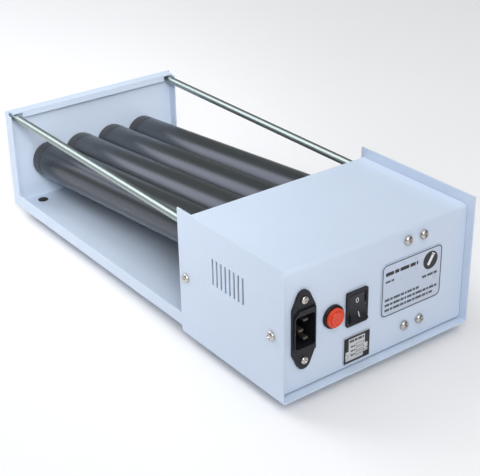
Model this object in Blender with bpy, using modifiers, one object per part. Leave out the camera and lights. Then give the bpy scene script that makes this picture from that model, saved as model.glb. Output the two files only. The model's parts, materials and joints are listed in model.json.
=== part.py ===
"""Four-roller tube mixer: a bench machine that rolls sample tubes lying across its rollers.

Sizes are in millimetres and are turned into metres by the shape helpers. Design coordinates
run X from the end plate's outer face to the housing's front edge, Y across the tray from its
near side and Z up from the bench; the helpers centre X and Y on the model's origin.
"""

import math

import bmesh
import bpy
from mathutils import Euler, Matrix, Vector

MM = 0.001
GAP = 0.3            # clearance kept between touching pieces
SHEET = 1.2          # sheet steel
SKIM = 0.05          # keeps the faces of joined pieces from lying in one plane

# Overall body
LENGTH = 387.5
TRAY_WIDTH = 170.0
TRAY_Z = 12.5        # underside of the tray
LIP = 10.5           # height of the tray's long lips
FLANGE = 10.0        # depth of the end plate's flanges
CORNER_NOTCH = 3.0
END_TOP = 100.0
TRAY_END = 377.0

# Drive housing
HOUSING_START = 269.5
SHELL_Z = 8.0
CHEEK_TOP = 109.5
SHELL_OUT = SHEET + GAP
COVER_START = 273.0
COVER_TOP = 102.0
PANEL = 381.0        # front panel's outer face
BULKHEAD = 273.5     # bulkhead's face towards the rollers
BEND = 2.5
COVER_BEND = 3.4
RETURN = 11.0        # depth of the inner returns that the cheeks are screwed to

# Rollers, which climb towards the drive housing
ROLLERS = 4
ROLLER_PITCH = 33.0
ROLLER_RADIUS = 16.2
ROLLER_BORE = 13.4
ROLLER_START = 4.5
ROLLER_LENGTH = 262.5
ROLLER_HEIGHT = 35.0  # axis above the tray's underside at the end plate
ROLLER_TILT = math.atan(0.095)
SHAFT_RADIUS = 4.0
BUSH_RADIUS = 5.5

# Gear train, in a plane square to the roller axes
GEAR_PLANE = 281.5   # distance along a roller's axis from its end-plate end
MODULE = 1.0
ROLLER_TEETH = 17
IDLER_TEETH = 16
PINION_TEETH = 18
GEAR_WIDTH = 6.0
BACKLASH = 0.30
STUD_RADIUS = 2.5
MOTOR_SIDESTEP = 3.0  # pinion axis beyond the last idler's axis, across the rollers

# Front panel fittings: places across the tray and heights above the bench
PANEL_MIDDLE = 56.5
INLET_Y = 19.8
INLET_SCREW_SPACING = 46.0
BUTTON_Y = 46.0
ROCKER_Y = 66.8
MOTOR_SCREW_Y = (112.8, 127.6)
MOTOR_SCREW_Z = (24.3, 91.9)
LABEL = (89.5, 147.2, 37.4, 79.4)
SERIAL_PLATE = (56.0, 80.0, 13.2, 34.4)

# Guard rods and cheek screws
ROD_Y = (6.4, TRAY_WIDTH - 6.4)
ROD_Z = 95.0
ROD_RADIUS = 3.2
ROD_START = -2.5     # the rods stand out of the end plate, so the machine's length starts here
ROD_LENGTH = 285.5
CHEEK_SCREW_X = (278.0, 376.0)
CHEEK_SCREW_Z = 57.0

# Feet: place along, place across, underside of the sheet they hold to
FEET = [(x, y, z) for x, z in ((12.5, TRAY_Z), (364.0, SHELL_Z)) for y in (21.5, 148.5)]

FACINGS = {
    "X": Matrix(((0, 0, 1), (1, 0, 0), (0, 1, 0))),
    "Y": Matrix(((0, 1, 0), (0, 0, 1), (1, 0, 0))),
    "-Y": Matrix(((1, 0, 0), (0, 0, -1), (0, 1, 0))),
    "Z": Matrix.Identity(3),
}


# ---------------------------------------------------------------- scene and helpers

def empty_scene():
    for item in list(bpy.data.objects):
        bpy.data.objects.remove(item, do_unlink=True)


def collection(name):
    found = bpy.data.collections.new(name)
    bpy.context.scene.collection.children.link(found)
    return found


def finish(name, colour, roughness, metallic=0.0):
    material = bpy.data.materials.new(name)
    material.use_nodes = True
    shader = material.node_tree.nodes["Principled BSDF"]
    shader.inputs["Base Color"].default_value = (*colour, 1.0)
    shader.inputs["Roughness"].default_value = roughness
    shader.inputs["Metallic"].default_value = metallic
    return material


def place(x, y, z):
    """A design point as a world position in metres."""
    return Vector((x - (LENGTH + ROD_START) / 2, y - TRAY_WIDTH / 2, z)) * MM


def put(name, mesh, where, facing="Z", parent=None, material=None):
    """An object for a mesh; under a parent, where is in the parent's own axes."""
    item = bpy.data.objects.new(name, mesh)
    PARTS.objects.link(item)
    if parent:
        item.parent = parent
        item.location = Vector(where) * MM
    else:
        item.location = place(*where)
    item.rotation_euler = FACINGS[facing].to_euler()
    if material:
        mesh.materials.append(material)
    return item


def mesh_from(bm, name):
    mesh = bpy.data.meshes.new(name)
    bm.to_mesh(mesh)
    bm.free()
    return mesh


def box(name, low, high, parent=None, material=None):
    middle = [(a + b) / 2 for a, b in zip(low, high)]
    bm = bmesh.new()
    bmesh.ops.create_cube(bm, size=1)
    bmesh.ops.scale(bm, vec=[(b - a) * MM for a, b in zip(low, high)], verts=bm.verts)
    return put(name, mesh_from(bm, name), middle, parent=parent, material=material)


def drum(name, where, radius, length, facing="X", sides=24, parent=None, material=None):
    """A cylinder that starts at where and runs along its facing."""
    bm = bmesh.new()
    bmesh.ops.create_cone(bm, cap_ends=True, segments=sides, radius1=radius * MM,
                          radius2=radius * MM, depth=length * MM,
                          matrix=Matrix.Translation((0, 0, length * MM / 2)))
    return put(name, mesh_from(bm, name), where, facing, parent, material)


def turned(name, profile, where, facing="Z", steps=16, parent=None, material=None, ring=False):
    """A profile of (radius, height), given down its outer side and turned about its facing."""
    bm = bmesh.new()
    points = [bm.verts.new((radius * MM, 0, height * MM)) for radius, height in profile]
    for first, second in zip(points, points[1:]):
        bm.edges.new((first, second))
    if ring:
        bm.edges.new((points[-1], points[0]))
    item = put(name, mesh_from(bm, name), where, facing, parent, material)
    screw = item.modifiers.new("Turn", "SCREW")
    screw.steps = screw.render_steps = steps
    screw.use_merge_vertices = True
    screw.merge_threshold = 0.0001
    return item


def outline(name, loops, thickness, where, facing="X", parent=None, material=None):
    """Flat loops, the first the rim and the rest holes, thickened both ways about where."""
    curve = bpy.data.curves.new(name, "CURVE")
    curve.dimensions = "2D"
    curve.fill_mode = "BOTH"
    curve.extrude = thickness * MM / 2
    for loop in loops:
        spline = curve.splines.new("POLY")
        spline.points.add(len(loop) - 1)
        spline.use_cyclic_u = True
        for point, (u, v) in zip(spline.points, loop):
            point.co = (u * MM, v * MM, 0, 1)
    drawn = bpy.data.objects.new(name + "_curve", curve)
    PARTS.objects.link(drawn)
    mesh = bpy.data.meshes.new_from_object(
        drawn.evaluated_get(bpy.context.evaluated_depsgraph_get()))
    bpy.data.objects.remove(drawn)
    bm = bmesh.new()
    bm.from_mesh(mesh)
    bmesh.ops.remove_doubles(bm, verts=bm.verts, dist=1e-5)
    bmesh.ops.recalc_face_normals(bm, faces=bm.faces)
    return put(name, mesh_from(bm, name), where, facing, parent, material)


def folded(name, low, high, kept, material, bend=BEND):
    """Sheet folded from the kept faces of a box, with rounded bends and its skin inwards."""
    item = box(name, low, high, material=material)
    bm = bmesh.new()
    bm.from_mesh(item.data)
    dropped = [face for face in bm.faces
               if not any(face.normal.dot(Vector(way)) > 0.5 for way in kept)]
    bmesh.ops.delete(bm, geom=dropped, context="FACES")
    bm.to_mesh(item.data)
    bm.free()
    bevel = item.modifiers.new("Bends", "BEVEL")
    bevel.width = bend * MM
    bevel.segments = 3
    bevel.limit_method = "ANGLE"
    skin = item.modifiers.new("Sheet", "SOLIDIFY")
    skin.thickness = SHEET * MM
    skin.offset = -1
    skin.use_even_offset = True
    return item


def combine(target, operation, *tools):
    for tool in tools:
        boolean = target.modifiers.new(tool.name, "BOOLEAN")
        boolean.operation = operation
        boolean.object = tool
        boolean.solver = "EXACT"
        tool.display_type = "WIRE"
        tool.hide_render = True
        PARTS.objects.unlink(tool)
        TOOLS.objects.link(tool)


def join(target, *pieces):
    combine(target, "UNION", *pieces)


def cut(target, *cutters):
    combine(target, "DIFFERENCE", *cutters)


def circle(radius, sides, u=0.0, v=0.0):
    turn = 2 * math.pi / sides
    return [(u + radius * math.cos(i * turn), v + radius * math.sin(i * turn))
            for i in range(sides)]


def rounded_rectangle(width, height, radius, arc_steps=4):
    points = []
    for corner in range(4):
        across = (width / 2 - radius) * (1 if corner in (0, 3) else -1)
        up = (height / 2 - radius) * (1 if corner in (0, 1) else -1)
        for step in range(arc_steps + 1):
            angle = (corner + step / arc_steps) * math.pi / 2
            points.append((across + radius * math.cos(angle), up + radius * math.sin(angle)))
    return points


def axis_height(x):
    """Height of the roller axes above the bench at a place along the machine."""
    return TRAY_Z + ROLLER_HEIGHT + (x - ROLLER_START) * math.tan(ROLLER_TILT)


def along(x):
    """Distance along a roller's axis at a place along the machine."""
    return (x - ROLLER_START) / math.cos(ROLLER_TILT)


def tilted_empty(name, x, y, z):
    """An empty whose own X lies along the roller axes."""
    marker = bpy.data.objects.new(name, None)
    PARTS.objects.link(marker)
    marker.location = place(x, y, z)
    marker.rotation_euler = Euler((0, -ROLLER_TILT, 0))
    return marker


def roller_y(number):
    return TRAY_WIDTH / 2 + (number - (ROLLERS + 1) / 2) * ROLLER_PITCH


def pan_head_screw(name, where, facing, head_radius, head_height, shank_radius, shank_length):
    """A screw whose head sits at where and rises along its facing."""
    profile = [(0, head_height), (head_radius * 0.72, head_height),
               (head_radius, head_height * 0.45), (head_radius, 0), (shank_radius, 0),
               (shank_radius, -shank_length), (0, -shank_length)]
    return turned(name, profile, where, facing, 12, material=STEEL)


# ---------------------------------------------------------------- sheet metal

def make_tray():
    """Floor, two long lips and an end plate, flanged on three sides with its top hemmed down."""
    tray = folded("tray", (0, 0, TRAY_Z), (TRAY_END, TRAY_WIDTH, END_TOP),
                  ((0, 0, -1), (-1, 0, 0)), PAINT, bend=1.8)
    for side, y in (("near", 0), ("far", TRAY_WIDTH - SHEET)):
        join(tray,
             box(f"tray_{side}_lip", (1, y, TRAY_Z + 0.4), (TRAY_END, y + SHEET, TRAY_Z + LIP)),
             box(f"tray_{side}_flange", (0.4, y, TRAY_Z + 1),
                 (FLANGE, y + SHEET, END_TOP - CORNER_NOTCH)))
    join(tray, box("tray_top_flange", (0.4, CORNER_NOTCH, END_TOP - SHEET),
                   (FLANGE, TRAY_WIDTH - CORNER_NOTCH, END_TOP)),
         box("tray_top_lip", (FLANGE - SHEET - SKIM, 12, END_TOP - 5.5),
             (FLANGE - SKIM, TRAY_WIDTH - 12, END_TOP - SHEET / 2)))
    for number in range(1, ROLLERS + 1):
        cut(tray, drum(f"end_bush_hole_{number}", (-3, roller_y(number), axis_height(0.6)),
                       BUSH_RADIUS + 0.7, 6, sides=16))
    for number, y in enumerate(ROD_Y, 1):
        cut(tray, drum(f"rod_hole_{number}", (-3, y, ROD_Z), ROD_RADIUS + 0.4, 6, sides=12))
    for number, (x, y, z) in enumerate(FEET[:2], 1):
        cut(tray, drum(f"tray_foot_hole_{number}", (x, y, z - 2), 3.5, 6, "Z", 12))


def make_shell():
    """Outer U of the housing: a bottom and two cheeks, with vents and stiffening pads."""
    near, far = -SHELL_OUT, TRAY_WIDTH + SHELL_OUT
    shell = folded("shell", (HOUSING_START, near, SHELL_Z), (LENGTH, far, CHEEK_TOP),
                   ((0, 0, -1), (0, -1, 0), (0, 1, 0)), PAINT)
    for number, y in enumerate((38, 118), 1):
        join(shell, box(f"shell_pad_{number}", (285, y, SHELL_Z + SHEET - 0.5),
                        (345, y + 18, TRAY_Z - GAP)))
    slots = 8
    slot_pitch = 4.9
    slot_width = 2.1
    for number in range(slots):
        x = 310.7 + number * slot_pitch
        cut(shell, box(f"vent_{number + 1}", (x - slot_width / 2, near - 5, 65.6),
                       (x + slot_width / 2, far + 5, 86.1)))
    for number, x in enumerate(CHEEK_SCREW_X, 1):
        cut(shell, drum(f"cheek_hole_{number}", (x, far + 5, CHEEK_SCREW_Z), 2.15,
                        far - near + 10, "-Y", 12))
    for number, (x, y, z) in enumerate(FEET[2:], 1):
        cut(shell, drum(f"shell_foot_hole_{number}", (x, y, z - 2), 3.5, 6, "Z", 12))


def make_cover():
    """Top and front panel from one folded sheet, with a return on each side of the panel."""
    cover = folded("cover", (COVER_START, 0, SHELL_Z + BEND),
                   (PANEL, TRAY_WIDTH, COVER_TOP), ((0, 0, 1), (1, 0, 0)), PAINT, bend=COVER_BEND)
    inner = PANEL - SHEET
    for side, y in (("near", 0), ("far", TRAY_WIDTH - SHEET)):
        strip = box(f"cover_{side}_return", (inner - RETURN, y, 24), (inner + 0.6, y + SHEET, 100))
        join(cover, strip)
    for number, y in enumerate((0, TRAY_WIDTH), 1):
        cut(cover, drum(f"return_hole_{number}", (CHEEK_SCREW_X[1], y + 3, CHEEK_SCREW_Z),
                        2.15, 6, "-Y", 12))
    back, front = inner - 3, PANEL + 3
    cut(cover,
        box("inlet_cutout", (back, INLET_Y - 9.2, PANEL_MIDDLE - 14),
            (front, INLET_Y + 9.2, PANEL_MIDDLE + 14)),
        box("rocker_cutout", (back, ROCKER_Y - 8.9, PANEL_MIDDLE - 12.1),
            (front, ROCKER_Y + 8.9, PANEL_MIDDLE + 12.1)),
        drum("button_cutout", (back, BUTTON_Y, PANEL_MIDDLE), 6.3, 8, sides=20))
    for number, way in enumerate((-1, 1), 1):
        height = PANEL_MIDDLE + way * INLET_SCREW_SPACING / 2
        cut(cover, drum(f"inlet_hole_{number}", (back, INLET_Y, height), 1.75, 8, sides=12))
    for number, (y, z) in enumerate(motor_screw_places(), 1):
        cut(cover, drum(f"motor_hole_{number}", (back, y, z), 2.15, 8, sides=12))


def motor_screw_places():
    return [(y, z) for z in MOTOR_SCREW_Z for y in MOTOR_SCREW_Y]


def make_bulkhead():
    """Wall between rollers and drive, with bush holes, flanges and the idlers' studs."""
    low, shoulder, top = TRAY_Z + SHEET + GAP, 24.0, COVER_TOP - SHEET - GAP
    inset = SHEET + GAP
    rim = [(0, shoulder), (TRAY_WIDTH, shoulder), (TRAY_WIDTH, top), (0, top)]
    middle = BULKHEAD + SHEET / 2
    holes = [circle(BUSH_RADIUS + 0.7, 16, roller_y(number), axis_height(middle))
             for number in range(1, ROLLERS + 1)]
    holes += [circle(ROD_RADIUS + 0.4, 12, y, ROD_Z) for y in ROD_Y]
    wall = outline("bulkhead", [rim] + holes, SHEET, (middle, 0, 0), material=PAINT)
    back = BULKHEAD + 0.3
    join(wall,
         box("bulkhead_apron", (BULKHEAD + SKIM, inset, low),
             (BULKHEAD + SHEET - SKIM, TRAY_WIDTH - inset, shoulder + 1)),
         box("bulkhead_near_flange", (back, SKIM, 24.5), (BULKHEAD + RETURN, SHEET, 100)),
         box("bulkhead_far_flange", (back, TRAY_WIDTH - SHEET, 24.5),
             (BULKHEAD + RETURN, TRAY_WIDTH - SKIM, 100)),
         box("bulkhead_foot", (back, 5, low + SKIM),
             (BULKHEAD + 12, TRAY_WIDTH - 5, low + SHEET)),
         box("bulkhead_top_flange", (back, 13, top - SHEET),
             (BULKHEAD + RETURN, TRAY_WIDTH - 13, top - SKIM)))
    for number, y in enumerate((0, TRAY_WIDTH), 1):
        cut(wall, drum(f"flange_hole_{number}", (CHEEK_SCREW_X[0], y + 3, CHEEK_SCREW_Z),
                       2.15, 6, "-Y", 12))
    start = along(BULKHEAD + 0.7) - GEAR_PLANE
    head = GEAR_WIDTH / 2 + 0.6
    for number in range(1, ROLLERS):
        stud = [(0, head + 1.4), (4, head + 1.4), (4, head), (STUD_RADIUS, head),
                (STUD_RADIUS, start), (0, start)]
        join(wall, turned(f"idler_stud_{number}", stud, (0, idler_y(number), 0), "X", 12,
                          parent=DRIVE))


def make_guard_rods():
    """A bright rod along each side, headed outside the end plate and nutted at the bulkhead."""
    for number, y in enumerate(ROD_Y, 1):
        rod = drum(f"guard_rod_{number}", (ROD_START, y, ROD_Z), ROD_RADIUS, ROD_LENGTH, sides=16,
                   material=BRIGHT)
        join(rod, drum(f"rod_{number}_head", (-2.4, y, ROD_Z), 4.4, 2.1, sides=16))
        for nut, x in enumerate((BULKHEAD - GAP - 2.6, BULKHEAD + SHEET + GAP), 1):
            join(rod, drum(f"rod_{number}_nut_{nut}", (x, y, ROD_Z), 4.8, 2.6, sides=6))


# ---------------------------------------------------------------- rollers and drive

def make_rollers():
    for number in range(1, ROLLERS + 1):
        axis = tilted_empty(f"roller_{number}_axis", ROLLER_START, roller_y(number),
                            axis_height(ROLLER_START))
        make_roller_tube(number, axis)
        make_roller_core(number, axis)
        make_bushes(number, axis)


def make_roller_tube(number, axis):
    end, edge = ROLLER_LENGTH, 0.6
    profile = [(ROLLER_BORE, end), (ROLLER_RADIUS - edge, end), (ROLLER_RADIUS, end - edge),
               (ROLLER_RADIUS, edge), (ROLLER_RADIUS - edge, 0), (ROLLER_BORE, 0)]
    turned(f"roller_tube_{number}", profile, (0, 0, 0), "X", 28, axis, ROLLER, ring=True)


def make_roller_core(number, axis):
    """Steel shaft with the two plugs that the tube is pressed on."""
    plug_depth, recess, plug_radius = 12, 3, ROLLER_BORE - GAP
    far = ROLLER_LENGTH - recess
    profile = [(0, GEAR_PLANE + 7), (SHAFT_RADIUS, GEAR_PLANE + 7), (SHAFT_RADIUS, far),
               (plug_radius, far), (plug_radius, far - plug_depth),
               (SHAFT_RADIUS, far - plug_depth), (SHAFT_RADIUS, recess + plug_depth),
               (plug_radius, recess + plug_depth), (plug_radius, recess),
               (SHAFT_RADIUS, recess), (SHAFT_RADIUS, -6.2), (0, -6.2)]
    turned(f"roller_core_{number}", profile, (0, 0, 0), "X", 12, axis, STEEL)


def make_bushes(number, axis):
    """A flanged bush in the end plate and another in the bulkhead, flanges facing the roller."""
    bore, collar, thickness = SHAFT_RADIUS + 0.35, 8.0, 1.1
    lean = collar * math.sin(ROLLER_TILT) + GAP
    inner = along(SHEET + lean)
    outer = [(bore, inner + thickness), (collar, inner + thickness), (collar, inner),
             (BUSH_RADIUS, inner), (BUSH_RADIUS, -6.4), (bore, -6.4)]
    turned(f"end_bush_{number}", outer, (0, 0, 0), "X", 12, axis, NYLON, ring=True)
    face = along(BULKHEAD - lean)
    tail = along(BULKHEAD + 4.5)
    drive = [(bore, tail), (BUSH_RADIUS, tail), (BUSH_RADIUS, face), (collar, face),
             (collar, face - thickness), (bore, face - thickness)]
    turned(f"drive_bush_{number}", drive, (0, 0, 0), "X", 12, axis, NYLON, ring=True)


def idler_y(number):
    return (roller_y(number) + roller_y(number + 1)) / 2


def tooth_outline(teeth, first_tooth):
    """Involute teeth about the origin, with one tooth centred on the given angle."""
    pitch_radius = MODULE * teeth / 2
    base = pitch_radius * math.cos(math.radians(20))
    tip, root = pitch_radius + 0.85 * MODULE, pitch_radius - 1.15 * MODULE

    def involute(radius):
        pressure = math.acos(min(1.0, base / radius))
        return math.tan(pressure) - pressure

    half_at_pitch = (math.pi * MODULE / 2 - BACKLASH) / (2 * pitch_radius)
    flank = []
    for radius in (root, pitch_radius, tip):
        half = half_at_pitch + involute(pitch_radius) - involute(max(radius, base))
        flank.append((radius, half))
    points = []
    for tooth in range(teeth):
        centre = first_tooth + tooth * 2 * math.pi / teeth
        sides = [(radius, centre - half) for radius, half in flank]
        sides += [(radius, centre + half) for radius, half in reversed(flank)]
        points += [(radius * math.cos(angle), radius * math.sin(angle))
                   for radius, angle in sides]
    return points


def make_gear(name, teeth, first_tooth, bore, where, parent, material):
    loops = [tooth_outline(teeth, first_tooth), circle(bore, 12)]
    return outline(name, loops, GEAR_WIDTH, where, "X", parent, material)


def make_gears():
    """Roller, idler and pinion gears; neighbours in the row alternate tooth and gap."""
    turn = 2 * math.pi
    for number in range(1, ROLLERS + 1):
        first = 0.0 if number % 2 else math.pi
        make_gear(f"roller_gear_{number}", ROLLER_TEETH, first, SHAFT_RADIUS + GAP,
                  (0, roller_y(number), 0), DRIVE, NYLON)
    for number in range(1, ROLLERS):
        first = turn / IDLER_TEETH / 2 if number % 2 else 0.0
        make_gear(f"idler_gear_{number}", IDLER_TEETH, first, STUD_RADIUS + 0.4,
                  (0, idler_y(number), 0), DRIVE, ACETAL)
    last_idler_tooth = turn / IDLER_TEETH / 2
    y, z = pinion_place()
    contact = math.atan2(z, y - idler_y(ROLLERS - 1))
    idler_phase = (last_idler_tooth - contact) / (turn / IDLER_TEETH)
    pinion_tooth = contact + math.pi - (idler_phase + 0.5) * turn / PINION_TEETH
    pinion = outline("motor_pinion", [tooth_outline(PINION_TEETH, pinion_tooth)], GEAR_WIDTH,
                     (0, y, z), "X", DRIVE, BRASS)
    join(pinion, drum("pinion_shaft", (-GEAR_WIDTH / 2 - 2, y, z), 3, 25, sides=12,
                      parent=DRIVE))


def pinion_place():
    """The pinion's place in the gear plane, hung below the last idler."""
    reach = MODULE * (IDLER_TEETH + PINION_TEETH) / 2
    drop = math.sqrt(reach ** 2 - MOTOR_SIDESTEP ** 2)
    return idler_y(ROLLERS - 1) + MOTOR_SIDESTEP, -drop


def make_motor():
    """Gearbox, motor can and the cup bracket that hangs the motor from the front panel."""
    y, z = pinion_place()
    half, radius = 22.0, 21.0
    gearbox = box("gearbox", (12, y - half, z - half), (34, y + half, z + half), DRIVE, ALLOY)
    edges = gearbox.modifiers.new("Edges", "BEVEL")
    edges.width = 3 * MM
    edges.segments = 2
    cut(gearbox, drum("gearbox_bore", (8, y, z), 3.4, 15, sides=12, parent=DRIVE))
    can = [(0, 84), (8, 84), (8, 82), (radius - 1.5, 82), (radius, 80.5), (radius, 34 + GAP),
           (0, 34 + GAP)]
    turned("motor_can", can, (0, y, z), "X", 24, DRIVE, STEEL)
    plate_x = PANEL - SHEET - GAP
    bracket = box("motor_bracket", (plate_x - 3.2, 104, 16.5), (plate_x, 136, 97.5),
                  material=ZINC)
    cup = [(radius + 0.5, 91.1), (radius + 2.8, 91.1), (radius + 2.8, 67), (radius + 0.5, 67)]
    join(bracket, turned("motor_cup", cup, (0, y, z), "X", 24, DRIVE, ring=True))
    for number, (across, up) in enumerate(motor_screw_places(), 1):
        cut(bracket, drum(f"bracket_hole_{number}", (plate_x - 6, across, up), 2.15, 10,
                          sides=12))
        pan_head_screw(f"motor_screw_{number}", (PANEL + GAP, across, up), "X", 3.7, 3.0, 1.8, 7)


# ---------------------------------------------------------------- front panel fittings

def make_inlet():
    """Three-pin mains inlet on its side: rounded ears, raised body and a deep socket."""
    mouth, ear_face, back = PANEL + 3.8, PANEL + GAP + 2.0, PANEL - 19
    y, z = INLET_Y, PANEL_MIDDLE
    half, shoulder, tip = 9.6, 17.0, 30.0
    ear, leaning = 5.6, math.radians(28)
    steps = 6
    arc = [leaning + (math.pi - 2 * leaning) * step / steps for step in range(steps + 1)]
    upper = [(ear * math.cos(turn), tip - ear + ear * math.sin(turn)) for turn in arc]
    rim = [(half, shoulder)] + upper + [(-half, shoulder)]
    rim += [(-u, -v) for u, v in rim]
    holes = [circle(1.75, 12, 0, way * INLET_SCREW_SPACING / 2) for way in (-1, 1)]
    inlet = outline("inlet_body", [rim] + holes, ear_face - PANEL - GAP,
                    ((ear_face + PANEL + GAP) / 2, y, z), material=BLACK)
    cheek, chamfer = 9.0, 4.4
    block = [(cheek, -16.2), (cheek, 16.2), (-cheek + chamfer, 16.2), (-cheek, 16.2 - chamfer),
             (-cheek, -16.2 + chamfer), (-cheek + chamfer, -16.2)]
    raised = outline("inlet_raised", [block], mouth - PANEL - 1,
                     ((mouth + PANEL + 1) / 2, y, z))
    tail = box("inlet_tail", (back, y - 8.9, z - 13.6), (PANEL + 1.5, y + 8.9, z + 13.6))
    join(inlet, raised, tail)
    cut(inlet, outline("inlet_socket", [rounded_rectangle(16.4, 24.4, 2.0, 2)],
                       mouth - back - 4 + 5, ((mouth + 5 + back + 4) / 2, y, z)))
    for pin, across, up in (("live", 2, 7), ("earth", -2, 0), ("neutral", 2, -7)):
        cut(inlet, box(f"pin_{pin}_slot", (back - 3, y + across - 2.3, z + up - 1.3),
                       (back + 6, y + across + 2.3, z + up + 1.3)))
        box(f"pin_{pin}", (back - 8, y + across - 2, z + up - 1),
            (mouth - 2.2, y + across + 2, z + up + 1), material=BRIGHT)
    for number, way in enumerate((-1, 1), 1):
        spot = (ear_face + GAP, y, z + way * INLET_SCREW_SPACING / 2)
        pan_head_screw(f"inlet_screw_{number}", spot, "X", 2.9, 1.6, 1.4, 9)


def make_button():
    """Round push button: a collar in the panel and a cap that slides in it."""
    y, z = BUTTON_Y, PANEL_MIDDLE
    collar = [(4.35, 0.4), (7.6, 0.4), (7.6, 2.0), (8.3, 2.0), (8.7, 1.6), (8.7, 0), (5.9, 0),
              (5.9, -16), (4.35, -16)]
    turned("button_collar", collar, (PANEL + GAP, y, z), "X", 20, material=BLACK, ring=True)
    cap = [(0, 3.4), (4.9, 3.4), (5.4, 2.9), (5.4, 1.9), (6.7, 1.9), (7.2, 1.4), (7.2, 0),
           (4.0, 0), (4.0, -17), (0, -17)]
    turned("button_cap", cap, (PANEL + GAP + 2.2, y, z), "X", 20, material=RED)


def make_rocker():
    """Rocker switch: a framed body and a V-faced rocker, resting with its upper half in."""
    y, z = ROCKER_Y, PANEL_MIDDLE
    pivot = PANEL + GAP
    body = outline("rocker_body", [rounded_rectangle(19.0, 26.4, 1.2, 2)], 1.7,
                   (pivot + 0.85, y, z), material=BLACK)
    join(body, box("rocker_tail", (PANEL - 20, y - 8.6, z - 11.8),
                   (pivot + 0.6, y + 8.6, z + 11.8)))
    cut(body,
        box("rocker_well", (PANEL - 15, y - 7.55, z - 10.8), (PANEL + 6, y + 7.55, z + 10.8)),
        drum("rocker_pin_holes", (pivot, y + 12, z), 1.6, 24, "-Y", 12))
    swing = math.radians(11)
    reach = 10.37
    start, end = math.radians(19), math.radians(-14)
    upper = [(reach * math.sin(start + (end - start) * i / 4),
              reach * math.cos(start + (end - start) * i / 4)) for i in range(5)]
    side = [(1.5, 0)] + upper + [(-6, 4)]
    side += [(x, -height) for x, height in reversed(side[1:])]
    # On the Y facing the outline's first value is height and its second is X.
    rocker = outline("rocker", [[(height, x) for x, height in side]], 14.5, (pivot, y, z), "Y",
                     material=BLACK)
    rocker.rotation_euler = (Euler((0, -swing, 0)).to_matrix() @ FACINGS["Y"]).to_euler()
    join(rocker, drum("rocker_pin", (pivot, y + 8.3, z), 1.25, 16.6, "-Y", 12))


def make_plates():
    """Blank serial plate with two rivets, and the blank rounded label plate."""
    y0, y1, z0, z1 = SERIAL_PLATE
    face = PANEL + GAP
    plate = box("serial_plate", (face, y0, z0), (face + 0.6, y1, z1), material=ALLOY)
    for number, (y, z) in enumerate(((y0 + 3, z0 + 5.5), (y1 - 3.5, z0 + 6.5)), 1):
        head = [(0, 1.1), (1.0, 1.0), (1.6, 0.5), (1.6, 0), (0, 0)]
        join(plate, turned(f"rivet_{number}", head, (face + 0.4, y, z), "X", 12))
    y0, y1, z0, z1 = LABEL
    outline("label_plate", [rounded_rectangle(y1 - y0, z1 - z0, 4.5)], 0.4,
            (face + 0.2, (y0 + y1) / 2, (z0 + z1) / 2), material=PAINT)


# ---------------------------------------------------------------- fasteners and feet

def make_cheek_screws():
    number = 0
    for x in CHEEK_SCREW_X:
        for facing, y in (("-Y", -SHELL_OUT - GAP), ("Y", TRAY_WIDTH + SHELL_OUT + GAP)):
            number += 1
            pan_head_screw(f"cheek_screw_{number}", (x, y, CHEEK_SCREW_Z), facing,
                           3.7, 2.4, 1.8, 8)


def make_feet():
    """Push-in rubber feet; the pair under the tray is taller by the shell's step."""
    for number, (x, y, underside) in enumerate(FEET, 1):
        top = underside - GAP
        neck = underside + SHEET + GAP
        profile = [(0, neck + 1.4), (2.6, neck + 1.2), (4.6, neck + 0.4), (4.6, neck), (3.1, neck),
                   (3.1, top), (8.0, top), (7.2, 0.6), (6.4, 0), (0, 0)]
        turned(f"foot_{number}", profile, (x, y, 0), "Z", 14, material=RUBBER)


empty_scene()
PARTS = collection("tube_roller_mixer")
TOOLS = collection("cutters")
PAINT = finish("painted_sheet", (0.72, 0.77, 0.86), 0.38)
ZINC = finish("zinc_plate", (0.55, 0.56, 0.58), 0.45, 0.9)
STEEL = finish("steel", (0.50, 0.49, 0.47), 0.35, 1.0)
BRIGHT = finish("bright_steel", (0.62, 0.64, 0.65), 0.22, 1.0)
ALLOY = finish("aluminium", (0.62, 0.63, 0.65), 0.40, 1.0)
BRASS = finish("brass", (0.70, 0.52, 0.25), 0.35, 1.0)
ROLLER = finish("roller_plastic", (0.055, 0.055, 0.060), 0.32)
NYLON = finish("nylon", (0.80, 0.79, 0.74), 0.50)
ACETAL = finish("acetal", (0.12, 0.12, 0.13), 0.45)
BLACK = finish("black_plastic", (0.015, 0.015, 0.018), 0.40)
RED = finish("red_plastic", (0.60, 0.03, 0.02), 0.30)
RUBBER = finish("rubber", (0.02, 0.02, 0.02), 0.80)
DRIVE = tilted_empty("gear_plane", ROLLER_START + GEAR_PLANE * math.cos(ROLLER_TILT), 0,
                     axis_height(ROLLER_START + GEAR_PLANE * math.cos(ROLLER_TILT)))

make_tray()
make_shell()
make_cover()
make_bulkhead()
make_guard_rods()
make_rollers()
make_gears()
make_motor()
make_inlet()
make_button()
make_rocker()
make_plates()
make_cheek_screws()
make_feet()
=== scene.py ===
"""Looks for the four-roller tube mixer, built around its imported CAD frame.

Lengths are in millimetres until they reach a mesh or an object, where MM turns them into metres.
The camera, the lights and the floor are given in metres from the start.
"""

import json
import math

import bmesh
import bpy
from mathutils import Matrix, Vector


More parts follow.
